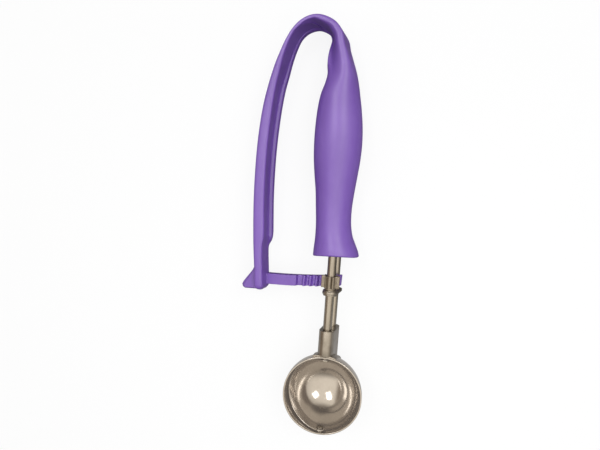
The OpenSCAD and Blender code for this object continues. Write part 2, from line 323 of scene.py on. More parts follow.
# %% [markdown]
# ## The moulding
# The grip, the bend and the lever are one moulding, so they are skinned over one list of stations. A
# station gives the moulding's outer and inner edge, its front and its rear, how far its section has
# turned from the grip's oval into the lever's channel, how deep the channel is, and by how much the front
# face drops from the outer edge to the inner one. A smooth curve runs through all stations. Loft code is
# used here because a section that changes its shape along the way is more than a swept profile can do.

# %% Stations of the moulding
STRAP_DEPTH = 10.75


def level(y, outer, inner, half_depth, share=0.0, recess=0.0, drop=0.0):
    return [outer, y, inner, y, MID_Z + half_depth, MID_Z - half_depth, share, recess, drop]


def strap(xo, yo, xi, yi, recess, drop=0.0, share=1.0):
    return [xo, yo, xi, yi, MID_Z + STRAP_DEPTH, MID_Z - STRAP_DEPTH, share, recess, drop]


def bar(xo, yo, xi, yi, front, rear, recess, drop=0.0):
    return [xo, yo, xi, yi, front, rear, 1, recess, drop]


GRIP = [
    level(75.4, 13.3, -12.4, 12.7), level(79.5, 12.4, -12.3, 12.4), level(84, 10.5, -12.0, 11.6),
    level(88.5, 8.6, -11.9, 10.8), level(95, 7.4, -12.1, 10.4), level(103, 7.2, -12.8, 10.3),
    level(112, 7.9, -13.6, 10.8), level(121, 8.9, -14.9, 11.8), level(130, 9.8, -15.9, 12.8),
    level(139, 10.1, -16.3, 13.3), level(148, 9.6, -16.2, 13.2), level(157, 8.4, -15.6, 12.7),
    level(164, 7.1, -14.4, 12.1, 0.04), level(170, 5.9, -12.5, 11.6, 0.14, 0, 1.2),
    level(175, 4.6, -11.6, 11.2, 0.32, 0.2, 3), level(180, 2.9, -12.2, 10.9, 0.52, 0.3, 5.5),
]
BEND = [
    strap(0.8, 185, -12.1, 183.4, 0.4, 7.5, 0.75), strap(-1.4, 190.2, -11.7, 187.6, 0.4, 9.5, 0.92),
    strap(-3.1, 195.8, -11.4, 191.9, 0.4, 12), strap(-6.6, 200.5, -12.0, 195.9, 0.6, 15),
    strap(-11.4, 203.4, -14.0, 199.2, 1.0, 15), strap(-16.8, 204.8, -17.7, 201.3, 1.1, 11),
    bar(-22.1, 204.1, -21.4, 201.7, 0.9, -20.0, 0.9, 4), bar(-27.0, 201.4, -25.9, 199.7, 0.9, -18.4, 0.7),
    bar(-31.0, 197.1, -29.6, 196.1, 0.9, -17.9, 0.6), bar(-34.3, 191.4, -32.5, 190.6, 0.9, -18.9, 0.8),
    bar(-37.1, 184.8, -34.9, 184.0, 0.9, -20.0, 1.1),
]
LEVER = [
    strap(-39.6, 178, -36.6, 176.9, 1.5), strap(-42.2, 168.5, -38.6, 167.6, 1.8),
    strap(-44.5, 157.5, -40.0, 156.8, 1.9), strap(-46.0, 145, -41, 144.6, 2),
    strap(-46.8, 132, -41.6, 131.9, 2), strap(-47.0, 118, -41.7, 118, 2),
    strap(-46.8, 105, -41.4, 105.1, 2), strap(-46.3, 94, -40.8, 94.3, 2), strap(-45.7, 85, -40.3, 85.3, 2),
    bar(-45.4, 81, -40.1, 81.3, 0.9, -18.6, 1.2), bar(-45.1, 78, -39.9, 78.3, 0.9, -13.4, 0.3),
    bar(-44.7, 74, -39.6, 74.3, 0.9, -12.4, 0.05), bar(-43.8, 65, -38.8, 65.3, 0.9, -12.4, 0.05),
    bar(-43.1, 56.4, -38.1, 56.6, 0.9, -12.4, 0.05), bar(-42.2, 54.4, -38.9, 54.5, -0.3, -11.4, 0.05),
]
STATIONS = np.array(GRIP + BEND + LEVER)
STEPS = 9
print(len(STATIONS), "stations,", (len(STATIONS) - 1) * STEPS + 1, "rings")

# %% The curve through the stations
def through(points, steps):
    """Catmull-Rom curve through a list of rows, with this many steps from one row to the next."""
    padded = np.vstack([points[:1], points, points[-1:]])
    u = np.arange(steps)[:, None] / steps
    rows = []
    for a, b, c, d in zip(padded, padded[1:], padded[2:], padded[3:]):
        square = (2 * a - 5 * b + 4 * c - d) * u**2
        cube = (3 * b - a - 3 * c + d) * u**3
        rows.append(0.5 * (2 * b + (c - a) * u + square + cube))
    return np.vstack(rows + [points[-1:]])


rings_along = through(STATIONS, STEPS)

# %% [markdown]
# Half a section is drawn in eleven steps from the middle of the outer face, round the front bead, to the
# middle of the recess. Both the oval and the channel use the same steps, so one can turn into the other.
# Eight points to a step and a little smoothing round off the lips of the channel.
#
# In the bend the front face also drops. It keeps a narrow ridge along the outer edge, goes down a slope
# behind that, and carries a low lip along the inner edge where the drop is about 7 to 11 mm. In the
# channel the front bead is a little wider than the rear one.

# %% The section at a station
# The bead's height, the lip's depth, how square the bead is, and how much wider the front gets
BEAD, LIP, SQUARE, WIDER = 2.0, 4.0, 0.65, 0.55
# The ridge's width, the drop past which it grows, by how much, and its largest share of the thickness
RIDGE, DEEP_DROP, RIDGE_GAIN, RIDGE_MOST = 1.6, 9, 0.2, 0.7
# Ends and starts are shares of the way from the ridge to the inner edge
SLOPE_END = 0.78
LOW_LIP, LOW_LIP_START, LOW_LIP_RUN = 0.9, 0.82, 0.12
SOFTENING = 5
MARKS = np.linspace(0, 11, 11 * 8 + 1)
OVAL = np.radians(np.interp(MARKS, range(12), [0, 20, 40, 56, 73, 90, 105, 120, 135, 150, 165, 180]))


def channel_half(t, h, recess):
    low = [[0, 0], [0, (h - BEAD) / 2], [0, h - BEAD]]
    high = [[t, h - BEAD], [t, h - LIP], [t - recess, h - LIP - recess * 0.4], [t - recess, 0]]
    marks = [0, 1, 2, 8, 9, 10, 11]
    across = np.interp(MARKS, marks, [p[0] for p in low + high])
    up = np.interp(MARKS, marks, [p[1] for p in low + high])
    bead = (MARKS > 2) & (MARKS < 8)
    angle = (MARKS[bead] - 2) * math.pi / 6
    sideways = np.cos(angle)
    across[bead] = t / 2 * (1 - np.sign(sideways) * abs(sideways) ** SQUARE)
    up[bead] = h - BEAD + BEAD * np.sin(angle) ** SQUARE
    return np.stack([across, up], 1)


def ring(station):
    """The points of the section at a station."""
    xo, yo, xi, yi, front, rear, share, recess, drop = station
    run = np.array([xi - xo, yi - yo])
    t = np.linalg.norm(run)
    h = (front - rear) / 2
    oval = np.stack([t / 2 * (1 - np.cos(OVAL)), h * np.sin(OVAL)], 1)
    half = oval * (1 - share) + channel_half(t, h, recess) * share
    whole = np.vstack([half, half[-2:0:-1] * [1, -1]])
    ridge = min(RIDGE + max(0, drop - DEEP_DROP) * RIDGE_GAIN, RIDGE_MOST * t)
    inward = np.clip((whole[:, 0] - ridge) / (t - ridge), 0, 1)
    slope = np.clip(inward / SLOPE_END, 0, 1)
    # The low lip grows while the drop goes from 3.2 to 7.2 mm, and fades from 10.8 to 13.8 mm
    lip_share = np.clip(drop / 4 - 0.8, 0, 1) * np.clip(4.6 - drop / 3, 0, 1)
    lip = lip_share * LOW_LIP * np.clip((inward - LOW_LIP_START) / LOW_LIP_RUN, 0, 1)
    # The slope is level at both ends, and steepest three quarters of the way in
    whole[:, 1] -= (drop * slope**4 * (5 - 4 * slope) - lip) * (whole[:, 1] + h) / (2 * h)
    forward = np.clip((whole[:, 1] + h - LIP) / (2 * h - LIP), 0, 1)
    whole[:, 0] *= 1 + WIDER * recess * share * forward / t
    for _ in range(SOFTENING):
        whole = whole / 2 + (np.roll(whole, 1, 0) + np.roll(whole, -1, 0)) / 4
    place = np.array([xo, yo]) + np.outer(whole[:, 0], run / t)
    return np.column_stack([place, (front + rear) / 2 + whole[:, 1]])


def skin(rings):
    """Faces between neighbouring rings, and one face over each end."""
    n = len(rings[0])
    faces = [(i * n + j, i * n + (j + 1) % n, (i + 1) * n + (j + 1) % n, (i + 1) * n + j)
             for i in range(len(rings) - 1) for j in range(n)]
    last = (len(rings) - 1) * n
    return faces + [tuple(range(n)), tuple(range(last, last + n))]


all_rings = np.array([ring(s) for s in rings_along])
GRIP_END = (len(GRIP) + 1) * STEPS
BEND_END = (len(GRIP) + len(BEND)) * STEPS
print("section of", len(all_rings[0]), "points")

# %% [markdown]
# ## The grip
# The grip's mouth is cut on a gentle curve, with a small rounding on its rim, and it is hollowed around
# the rods. The lowest rings are bent to that curve. Five more rings turn the rim over, and the next six
# are the round wall and the floor of the hollow.

# %% The grip and its mouth
MOUTH_X, MOUTH_Y, MOUTH_CURVE, MOUTH_R, MOUTH_DEPTH = 0.45, 76.0, 70.0, 9.7, 4.0
MOUTH_RISE, MOUTH_SLANT, RIM, FADE_LENGTH = 0.3, 0.05, 0.6, 9


def mouth_line(z, x):
    """Where the mouth's rim lies along the grip, for a point of the section."""
    arch = np.sqrt(MOUTH_CURVE**2 - (z - MID_Z) ** 2)
    return MOUTH_Y + MOUTH_RISE + MOUTH_SLANT * x + MOUTH_CURVE - arch


grip_rings = [r.copy() for r in all_rings[: GRIP_END + 1]]
first = next(i for i, r in enumerate(grip_rings) if r[:, 1].mean() > MOUTH_Y + RIM)
grip_rings = grip_rings[first:]
for r in grip_rings:
    fade = np.clip(1 - (r[:, 1] - MOUTH_Y) / FADE_LENGTH, 0, 1) ** 2
    r[:, 1] += (mouth_line(r[:, 2], r[:, 0]) - MOUTH_Y) * fade
edge = grip_rings[0]
centre = np.array([MOUTH_X, 0, MID_Z])
inward = edge - centre
inward[:, 1] = 0
inward /= np.linalg.norm(inward, axis=1)[:, None]
rim = []
for turn in np.radians([90, 67, 45, 22, 0]):
    r = edge - inward * RIM * (1 - math.sin(turn))
    r[:, 1] = mouth_line(r[:, 2], r[:, 0]) + RIM * (1 - math.cos(turn))
    rim.append(r)
angles = np.arctan2(edge[:, 2] - MID_Z, edge[:, 0])
for radius, depth in [
    (MOUTH_R + 0.5, 0.0), (MOUTH_R + 0.12, 0.15), (MOUTH_R, 0.6),
    (MOUTH_R, MOUTH_DEPTH - 0.5), (MOUTH_R - 0.5, MOUTH_DEPTH), (4.0, MOUTH_DEPTH),
]:
    r = np.column_stack([radius * np.cos(angles), edge[:, 1] * 0, MID_Z + radius * np.sin(angles)])
    r[:, 1] = mouth_line(r[:, 2], r[:, 0]) + depth if depth < 1 else MOUTH_Y + depth
    rim.append(r)
grip_rings = rim[::-1] + grip_rings
grip = solid("grip_moulding", np.vstack(grip_rings), skin(grip_rings))
keep(grip, "handle", nylon, ["grip"], crisp=50)

# %% [markdown]
# ## The bend
# The bend is the spring: on the real scoop it flexes between the handle and the lever when the lever is
# squeezed. It is the same skin, and here it is put on no body and stays as it is made.

# %% The springy bend
bend_rings = all_rings[GRIP_END : BEND_END + 1]
bend = solid("springy_bend", np.vstack(bend_rings), skin(bend_rings))
keep(bend, None, nylon, ["flex_loop"], crisp=50)
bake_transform(bend)

# %% [markdown]
# ## The lever's foot and the toothed arm
# Where the lever, its heel and the toothed arm meet, the real moulding has soft inner corners. Closed
# shapes are laid into each other, made into one skin by a voxel remesh, and smoothed a little, which
# leaves fillets in every corner. The teeth are a row of equal prisms, so a Geometry Nodes tree repeats
# them along the arm.

# %% A tree with named inputs
def rule(name, sizes):
    """A Geometry Nodes tree with a named input for each size. Gives the tree and its wrapped inputs."""
    tree = bpy.data.node_groups.new(name, "GeometryNodeTree")
    tree.interface.new_socket("Geometry", in_out="OUTPUT", socket_type="NodeSocketGeometry")
    for size, value in sizes.items():
        kind = "NodeSocketInt" if isinstance(value, int) else "NodeSocketFloat"
        tree.interface.new_socket(size, in_out="INPUT", socket_type=kind).default_value = value
    tree.interface.new_socket("Finish", in_out="INPUT", socket_type="NodeSocketMaterial")
    entry = tree.nodes.new("NodeGroupInput")
    return Flow(tree), {s: Flow(tree, entry.outputs[s]) for s in [*sizes, "Finish"]}


def hand_over(tree, shape, material):
    """The tree's end: real geometry, with its finish."""
    real = tree.add("GeometryNodeRealizeInstances", {}, {0: shape})
    done = tree.add("GeometryNodeSetMaterial", {}, {"Geometry": real, "Material": material})
    tree.tree.links.new(done.socket, tree.tree.nodes.new("NodeGroupOutput").inputs[0])


def grown(name, tree, material):
    """A plain mesh object made by a tree. Its finish is set by the socket's identifier first."""
    piece = bpy.data.objects.new(name, bpy.data.meshes.new(name))
    bpy.context.collection.objects.link(piece)
    modifier = piece.modifiers.new("rule", "NODES")
    modifier.node_group = tree.tree
    for item in tree.tree.interface.items_tree:
        if item.in_out == "INPUT" and item.name == "Finish":
            modifier[item.identifier] = material
    return applied(piece)


def xyz(tree, x=0.0, y=0.0, z=0.0):
    return tree.add("ShaderNodeCombineXYZ", {}, {"X": x, "Y": y, "Z": z})


def tapered_tooth(tree, size, height):
    """A block as tall as height, which narrows along Z from its root to its crest."""
    box = xyz(tree, size["Root"], size["Width"], height)
    block = tree.add("GeometryNodeMeshCube", {}, {"Size": box})
    spot = tree.add("GeometryNodeInputPosition")
    x, y, z = (spot.axis(i) for i in range(3))
    tall = z / height + 0.5
    narrow = 1 - tall * (1 - size["Crest"] / size["Root"])
    moved = {"Geometry": block, "Position": xyz(tree, x * narrow, y, z)}
    return tree.add("GeometryNodeSetPosition", {}, moved)


# %% The row of teeth
MODULE, TEETH, GEAR_Y, AXIS_Z = 1.15, 7, 62.9, -3.5
PITCH_R = TEETH * MODULE / 2
PITCH = math.pi * MODULE
RACK_Z = AXIS_Z - PITCH_R
CREST_Z, ROOT_Z, BACK_Z = RACK_Z + 0.75, RACK_Z - 1.35, -12.4
# The line that the teeth and the arm follow: where it starts, its y there, its slope and its bend
LINE_START, LINE_LOW, LINE_SLOPE, LINE_BEND = -40.5, 59.6, 0.022, 0.0013
ARM_HALF, TOOTH_SKEW = 3.0, 0.0384

teeth_tree, size = rule("row_of_teeth", {
    "Count": 6, "Pitch": PITCH, "Crest": 0.854, "Root": 3.04, "Height": 3.0, "Width": 2 * ARM_HALF,
    "Low": LINE_LOW, "Slope": LINE_SLOPE, "Bend": LINE_BEND, "Left": LINE_START,
    "First": PITCH / 2, "Top": CREST_Z, "Tilt": -TOOTH_SKEW})
tooth = tapered_tooth(teeth_tree, size, size["Height"])
step = teeth_tree.add("GeometryNodeInputIndex")
along = size["First"] - step * size["Pitch"]
run = along - size["Left"]
centre_line = size["Low"] + size["Slope"] * run + size["Bend"] * run * run
row = teeth_tree.add("GeometryNodeMeshLine", {}, {"Count": size["Count"]})
row = teeth_tree.add("GeometryNodeSetPosition", {}, {
    "Geometry": row, "Position": xyz(teeth_tree, along, centre_line, size["Top"] - size["Height"] / 2)})
row = teeth_tree.add("GeometryNodeInstanceOnPoints", {}, {
    "Points": row, "Instance": tooth, "Rotation": xyz(teeth_tree, 0.0, 0.0, size["Tilt"])})
hand_over(teeth_tree, row, size["Finish"])
teeth = grown("teeth", teeth_tree, nylon)
print("teeth:", len(teeth.data.polygons) // 6)

# %% [markdown]
# The arm under the teeth rises a little towards the gear, and left of the first gap it is as tall as the
# teeth. The heel is a thick tab that stands out to the left, and its front edge is chamfered.

# %% Arm, heel and foot
ARM_LEFT, ARM_RIGHT = -43.0, 4.4
FLANK_TOP, FLANK_FOOT = -20.85, -20.08


def arm_middle(x):
    """The y of that line at x."""
    run = x - LINE_START
    return LINE_LOW + LINE_SLOPE * run + LINE_BEND * run**2


def prism_along(xs, top):
    """A closed bar that follows the arm's middle line, from the back up to top(x)."""
    rings = []
    for x in xs:
        y, z = arm_middle(x), top(x)
        rings.append([(x + side * ARM_HALF * TOOTH_SKEW, y + side * ARM_HALF, height)
                      for side, height in [(-1, BACK_Z), (1, BACK_Z), (1, z), (-1, z)]])
    return np.vstack(rings), skin(rings)


arm = solid("arm", *prism_along(np.linspace(ARM_LEFT, ARM_RIGHT, 40), lambda x: ROOT_Z))
plain = solid("plain", *prism_along([*np.linspace(ARM_LEFT, FLANK_TOP, 24), FLANK_FOOT],
                                    lambda x: ROOT_Z - 0.3 if x == FLANK_FOOT else CREST_Z))
HEEL_OUTLINE = [(-41, 68.4), (-44.4, 68.2), (-46.6, 63.8), (-51.5, 57.1),
                (-52.2, 55.4), (-51.6, 53.9), (-50.2, 53.2), (-41, 53.7)]
HEEL_FRONT = [(-41, 67.6), (-44.0, 66.6), (-45.6, 63.6), (-49.4, 57.6),
              (-50.2, 55.6), (-50.3, 54.6), (-49.6, 53.9), (-41, 54.2)]
heel_rings = [[(x, y, z) for x, y in outline]
              for outline, z in [(HEEL_OUTLINE, -11.0), (HEEL_OUTLINE, -4.6), (HEEL_FRONT, -3.4)]]
heel = solid("heel", np.vstack(heel_rings), skin(heel_rings))

CUT_Y = 72.0
foot_first = next(i for i, r in enumerate(all_rings) if i > BEND_END and r[:, 1].mean() < CUT_Y + 3)
foot_rings = list(all_rings[foot_first:])
last = foot_rings[-1]
for shrink, drop in [(0.93, 0.28), (0.80, 0.50), (0.58, 0.66), (0.3, 0.74)]:
    r = last.mean(0) + (last - last.mean(0)) * shrink
    r[:, 1] -= drop
    foot_rings.append(r)
foot = solid("foot", np.vstack(foot_rings), skin(foot_rings))

# %% [markdown]
# The remesh makes one skin round all five shapes, at a voxel of a fifth of a millimetre, and the smoothing
# that follows rounds its edges to about half a millimetre. Above the cut the plain skin of the lever goes
# on with the same section, so no seam shows.

# %% One skin for the foot
def joined(name, pieces):
    """One mesh object from several, with all their shells."""
    work = bmesh.new()
    for piece in pieces:
        work.from_mesh(piece.data)
    mesh = bpy.data.meshes.new(name)
    work.to_mesh(mesh)
    work.free()
    for piece in pieces:
        bpy.data.objects.remove(piece)
    whole = bpy.data.objects.new(name, mesh)
    bpy.context.collection.objects.link(whole)
    return whole


def fused(name, pieces, voxel, smoothing):
    return applied(joined(name, pieces),
                   ("REMESH", {"mode": "VOXEL", "voxel_size": voxel}),
                   ("SMOOTH", {"factor": 0.5, "iterations": smoothing}))


foot = fused("foot", [foot, arm, plain, heel, teeth], 0.2, 5)
work = bmesh.new()
work.from_mesh(foot.data)
cut = bmesh.ops.bisect_plane(work, geom=work.verts[:] + work.edges[:] + work.faces[:], dist=1e-6,
                             plane_co=(0, CUT_Y, 0), plane_no=(0, 1, 0), clear_outer=True)
edges = [e for e in cut["geom_cut"] if isinstance(e, bmesh.types.BMEdge)]
bmesh.ops.contextual_create(work, geom=edges)
work.to_mesh(foot.data)
work.free()
print("foot:", len(foot.data.polygons), "faces")

# %% The lever
upper = [r.copy() for r in all_rings[BEND_END:] if r[:, 1].mean() > CUT_Y + 0.3]
flat = upper[-1].copy()
flat[:, 1] = CUT_Y
upper.append(flat)
upper = solid("upper", np.vstack(upper), skin(upper))
lever = joined("squeeze_lever", [upper, foot])
keep(lever, "lever", nylon, ["lever_arm", "rack_arm"], crisp=50)

# %% [markdown]
# ## The pinion
# Seven teeth stand round a hub. The tree puts one tapered tooth on each point of a circle, turned to face
# outwards. A fine remesh then joins them to the hub and softens the corners, as tumbling does.

# %% The gear's rule
GEAR_WIDTH, TIP_R = 6.5, PITCH_R + MODULE
gear_tree, size = rule("gear", {
    "Count": TEETH, "Hub": 3.05, "Tip": TIP_R, "Width": GEAR_WIDTH, "Crest": 0.66, "Root": 2.0})
depth = size["Tip"] - size["Hub"] + 0.9
tooth = tapered_tooth(gear_tree, size, depth)
turn = gear_tree.add("GeometryNodeInputIndex") * (2 * math.pi) / size["Count"]
reach = size["Tip"] - depth / 2
ring_of = gear_tree.add("GeometryNodeMeshLine", {}, {"Count": size["Count"]})
ring_of = gear_tree.add("GeometryNodeSetPosition", {}, {
    "Geometry": ring_of,
    "Position": xyz(gear_tree, turn.math("SINE") * reach, 0.0, turn.math("COSINE") * reach * -1)})
ring_of = gear_tree.add("GeometryNodeInstanceOnPoints", {}, {
    "Points": ring_of, "Instance": tooth, "Rotation": xyz(gear_tree, 0.0, math.pi - turn, 0.0)})
hand_over(gear_tree, ring_of, size["Finish"])
gear_teeth = grown("gear_teeth", gear_tree, sintered)
gear_teeth.data.transform(Matrix.Translation((0, GEAR_Y, AXIS_Z)))

# %% Turned shapes
SIDES = 72
AROUND = [2 * math.pi * k / SIDES for k in range(SIDES)]


def turned(name, profile, axis_z=AXIS_Z):
    """A closed shape turned round x = 0, z = axis_z, from (radius, y) points. Radius 0 is a pole."""
    points, faces, rows = [], [], []
    for radius, y in profile:
        if radius == 0:
            rows.append([len(points)] * SIDES)
            points.append((0, y, axis_z))
        else:
            rows.append(list(range(len(points), len(points) + SIDES)))
            points += [(radius * math.sin(a), y, axis_z + radius * math.cos(a)) for a in AROUND]
    closed = profile[0][0] > 0
    for a, b in zip(rows, rows[1:] + (rows[:1] if closed else [])):
        for k in range(SIDES):
            after = (k + 1) % SIDES
            face = list(dict.fromkeys([a[k], a[after], b[after], b[k]]))
            if len(face) > 2:
                faces.append(face)
    return solid(name, points, faces)


def rounded_ring(outer, bore, y0, y1, edge=0.12):
    """Profile of a washer with its outer edges broken."""
    turns = np.radians([0, 30, 60, 90])
    low = [(outer - edge + edge * math.sin(a), y0 + edge - edge * math.cos(a)) for a in turns]
    high = [(outer - edge + edge * math.cos(a), y1 - edge + edge * math.sin(a)) for a in turns]
    return [(bore, y0)] + low + high + [(bore, y1)]


ROD_R, HUB_R, HUB_LOW = 2.38, 3.1, 58.3
gear_top = GEAR_Y + GEAR_WIDTH / 2 - 0.15
hub = turned("hub", [(ROD_R, HUB_LOW), (HUB_R, HUB_LOW), (HUB_R, gear_top), (ROD_R, gear_top)])
pinion = fused("pinion_gear", [gear_teeth, hub], 0.11, 4)
keep(pinion, "scraper", sintered, ["pinion"], crisp=60)

# %% [markdown]
# ## Shaft, rod and washers
# All of these are turned on a lathe, so one helper spins their profiles. The ends carry the small
# chamfers and domed rivet heads that catch the light on the real parts.

# %% Turned pieces
ROD_Z, TAB_IN, TAB_OUT, COLLAR_GAP = -15.1, 19.296, 19.996, 0.14
collar = TAB_IN - COLLAR_GAP
shaft = turned("scraper_shaft_bar", [
    (0, collar - 0.7), (1.5, collar - 0.66), (2.1, collar - 0.48), (2.4, collar - 0.2),
    (2.4, collar - 0.04), (2.34, collar), (1.6, collar), (1.6, 22.8), (2.2, 22.8), (2.34, 22.86),
    (ROD_R, 23), (ROD_R, 60), (ROD_R, 113.8), (2.2, 114), (0, 114)])
keep(shaft, "scraper", drawn, ["scraper_shaft"])
rod = turned("support_bar", [
    (0, 22), (2.3, 22), (ROD_R, 22.1), (ROD_R, 60), (ROD_R, 149.8), (2.2, 150), (0, 150)], ROD_Z)
keep(rod, "handle", drawn, ["support_rod"])
for name, node, body, outer, bore, y0, y1 in [
    ("thrust_ring", "thrust_washer", "scraper", 4.0, ROD_R, 57.75, HUB_LOW),
    ("snap_ring", "retaining_ring", "scraper", 3.7, ROD_R, 55.35, 56.15),
    ("tip_spacer", "tip_washer", "handle", 2.1, 1.2, -20.78, -20.15),
    ("neck_spacer", "neck_washer", "scraper", 2.1, 1.6, 20.07, 20.55),
]:
    keep(turned(name, rounded_ring(outer, bore, y0, y1)), body, tumbled, [node])
pivot = turned("tip_rivet", [
    (0, -22.6), (0.9, -22.53), (1.5, -22.28), (1.85, -21.95), (1.9, -21.7), (1.2, -21.66),
    (1.2, -19.196), (1.86, -19.196), (1.9, -19.12), (1.85, -18.9), (1.5, -18.65), (0.9, -18.53),
    (0, -18.5)])
keep(pivot, "handle", tumbled, ["tip_pivot"])

# %% [markdown]
# ## The bowl
# The bowl is a half ball with a short straight collar, all of one sheet. The tree takes the lower half of
# a ball and pulls its open edge up. Solidify then gives it the sheet's thickness and Bevel breaks the
# rim. A mirror shows every flat, so the ball is finely divided.

# %% The bowl's rule
BOWL_R, WALL, DROP, BOWL_TURN = 20.9, 0.8, 3.5, math.radians(8)
bowl_tree, size = rule("half_ball", {
    "Radius": BOWL_R + WALL / 2, "Collar": DROP * math.cos(BOWL_TURN), "Segments": 192, "Rings": 96})
ball = bowl_tree.add("GeometryNodeMeshUVSphere", {}, {
    "Segments": size["Segments"], "Rings": size["Rings"], "Radius": size["Radius"]})
height = bowl_tree.add("GeometryNodeInputPosition").axis(2)
half = bowl_tree.add("GeometryNodeDeleteGeometry", {"domain": "POINT"}, {
    "Geometry": ball, "Selection": height.math("GREATER_THAN", height, 0.01)})
open_edge = bowl_tree.add("GeometryNodeInputMeshEdgeNeighbors")
open_edge = open_edge.math("LESS_THAN", open_edge, 1.5)
collar_up = bowl_tree.add("GeometryNodeExtrudeMesh", {"mode": "EDGES"}, {
    "Mesh": half, "Selection": open_edge, "Offset": xyz(bowl_tree, z=1.0), "Offset Scale": size["Collar"]})
hand_over(bowl_tree, collar_up, size["Finish"])
bowl = grown("round_bowl", bowl_tree, polished)
bowl.data.transform(Matrix.Translation((0, 0, -DROP)) @ Matrix.Rotation(BOWL_TURN, 4, "Y"))
applied(bowl, ("SOLIDIFY", {"thickness": WALL, "offset": 0.0, "use_even_offset": True}),
        ("BEVEL", {"width": 0.18, "segments": 3, "limit_method": "ANGLE",
                   "angle_limit": math.radians(50)}))
keep(bowl, "handle", polished, ["bowl"], crisp=70)

# %% [markdown]
# ## The scraper blade
# The blade is a strip bent to a half circle, with a round tab at each end. The strip follows a path, so
# a tree sweeps a rounded profile along an arc. The tabs are turned, and a fine remesh joins them to it.

# %% The blade's rule
BLADE_W, BLADE_T, DIP = 6.4, 0.7, 13
BLADE_GAP = 0.6
STRIP_R = math.sqrt((BOWL_R - BLADE_GAP) ** 2 - BLADE_W**2 / 4) - BLADE_T / 2
blade_tree, size = rule("bent_strip", {
    "Radius": STRIP_R, "Width": BLADE_W, "Thickness": BLADE_T, "Edge": 0.3})
arc = blade_tree.add("GeometryNodeCurveArc", {"mode": "RADIUS"}, {
    "Resolution": 160, "Radius": size["Radius"], "Start Angle": math.pi / 2, "Sweep Angle": math.pi})
profile = blade_tree.add("GeometryNodeCurvePrimitiveQuadrilateral", {"mode": "RECTANGLE"}, {
    "Width": size["Thickness"], "Height": size["Width"]})
profile = blade_tree.add("GeometryNodeFilletCurve", {"mode": "POLY"}, {
    "Curve": profile, "Radius": size["Edge"], "Count": 4})
swept = blade_tree.add("GeometryNodeCurveToMesh", {}, {
    "Curve": arc, "Profile Curve": profile, "Fill Caps": True})
hand_over(blade_tree, swept, size["Finish"])
strip = grown("strip", blade_tree, polished)
print("strip box:", [round(v, 2) for v in strip.dimensions])
strip.data.transform(Matrix.Translation((0, 0, AXIS_Z)) @ Matrix.Rotation(math.radians(-DIP), 4, "Y"))
tabs = [turned("tab", rounded_ring(BLADE_W / 2, bore, y0, y1, 0.2))
        for bore, y0, y1 in [(1.62, TAB_IN, TAB_OUT), (1.27, -TAB_OUT, -TAB_IN)]]
blade = fused("sweeping_blade", [strip, *tabs], 0.13, 3)
keep(blade, "scraper", polished, ["scraper_blade"], crisp=60)

# %% [markdown]
# ## Guide, neck and saddle
# The guide plate, the neck and the saddle already have the right shape in the CAD model, but every edge
# there is knife-sharp. Real pressed and cast parts are tumbled until their edges are round to the touch.
# A copy of each CAD mesh has its loose triangles merged and its flats joined, and a Bevel breaks the
# edges.

# %% Parts with broken edges
def edge_broken(node, name, width):
    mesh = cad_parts[node].data.copy()
    mesh.transform(Matrix.Scale(1 / MM, 4))
    work = bmesh.new()
    work.from_mesh(mesh)
    bmesh.ops.remove_doubles(work, verts=work.verts, dist=1e-4)
    bmesh.ops.dissolve_limit(work, angle_limit=math.radians(1.5), verts=work.verts, edges=work.edges)
    work.to_mesh(mesh)
    work.free()
    piece = bpy.data.objects.new(name, mesh)
    bpy.context.collection.objects.link(piece)
    return applied(piece, ("BEVEL", {"width": width, "segments": 3, "limit_method": "ANGLE",
                                     "angle_limit": math.radians(40)}))


for node, name, width in [("shaft_guide", "guide_plate", 0.2), ("neck_block", "neck_casting", 0.45),
                          ("bowl_saddle", "saddle_plate", 0.15)]:
    keep(edge_broken(node, name, width), "handle", tumbled, [node], crisp=40)

# %% [markdown]
# ## The set
# The scoop rests on its bowl, its grip and its lever. The floor is the plane through those three spots,
# so it leans by about four degrees against the upright axis. It is white to the camera, and a part of its
# real shade is left in, so the shadows stay. Reflections see it dark, and paler near the bowl.

# %% Floor
SPOTS = [(0, 0, -25.25), (-3.3, 145, -23.2), (-44.5, 128, -20.65)]
a, b, c = (Vector(p) * MM for p in SPOTS)
up = (b - a).cross(c - a).normalized()
up = up if up.z > 0 else -up
across = up.cross(Vector((0, 1, 0))).normalized()
ahead = up.cross(across)
REACH = 3.0
CORNERS = [(-1, -1), (1, -1), (1, 1), (-1, 1)]
# Shares of pure white: for the camera, for reflections, and what reflections gain near the bowl
CAMERA_WHITE, MIRROR_WHITE, MIRROR_GAIN = 0.88, 0.04, 0.42
middle = a - up * 0.0001
floor_mesh = bpy.data.meshes.new("floor")
floor_mesh.from_pydata([middle + across * x * REACH + ahead * y * REACH for x, y in CORNERS],
                       [], [(0, 1, 2, 3)])
floor = bpy.data.objects.new("floor", floor_mesh)
bpy.context.collection.objects.link(floor)
if floor_mesh.polygons[0].normal.z < 0:
    floor_mesh.flip_normals()
print("floor leans", round(math.degrees(up.angle(Vector((0, 0, 1)))), 2), "degrees")


def grey(level):
    return rgb(level, level, level)


def rays(tree):
    """1 for rays from the camera, and 1 for rays that a mirror or a clear body sends on."""
    camera_ray, glossy, through = (tree.add("ShaderNodeLightPath", out=name)
                                   for name in ("Is Camera Ray", "Is Glossy Ray", "Is Transmission Ray"))
    return camera_ray, glossy.math("MAXIMUM", glossy, through)


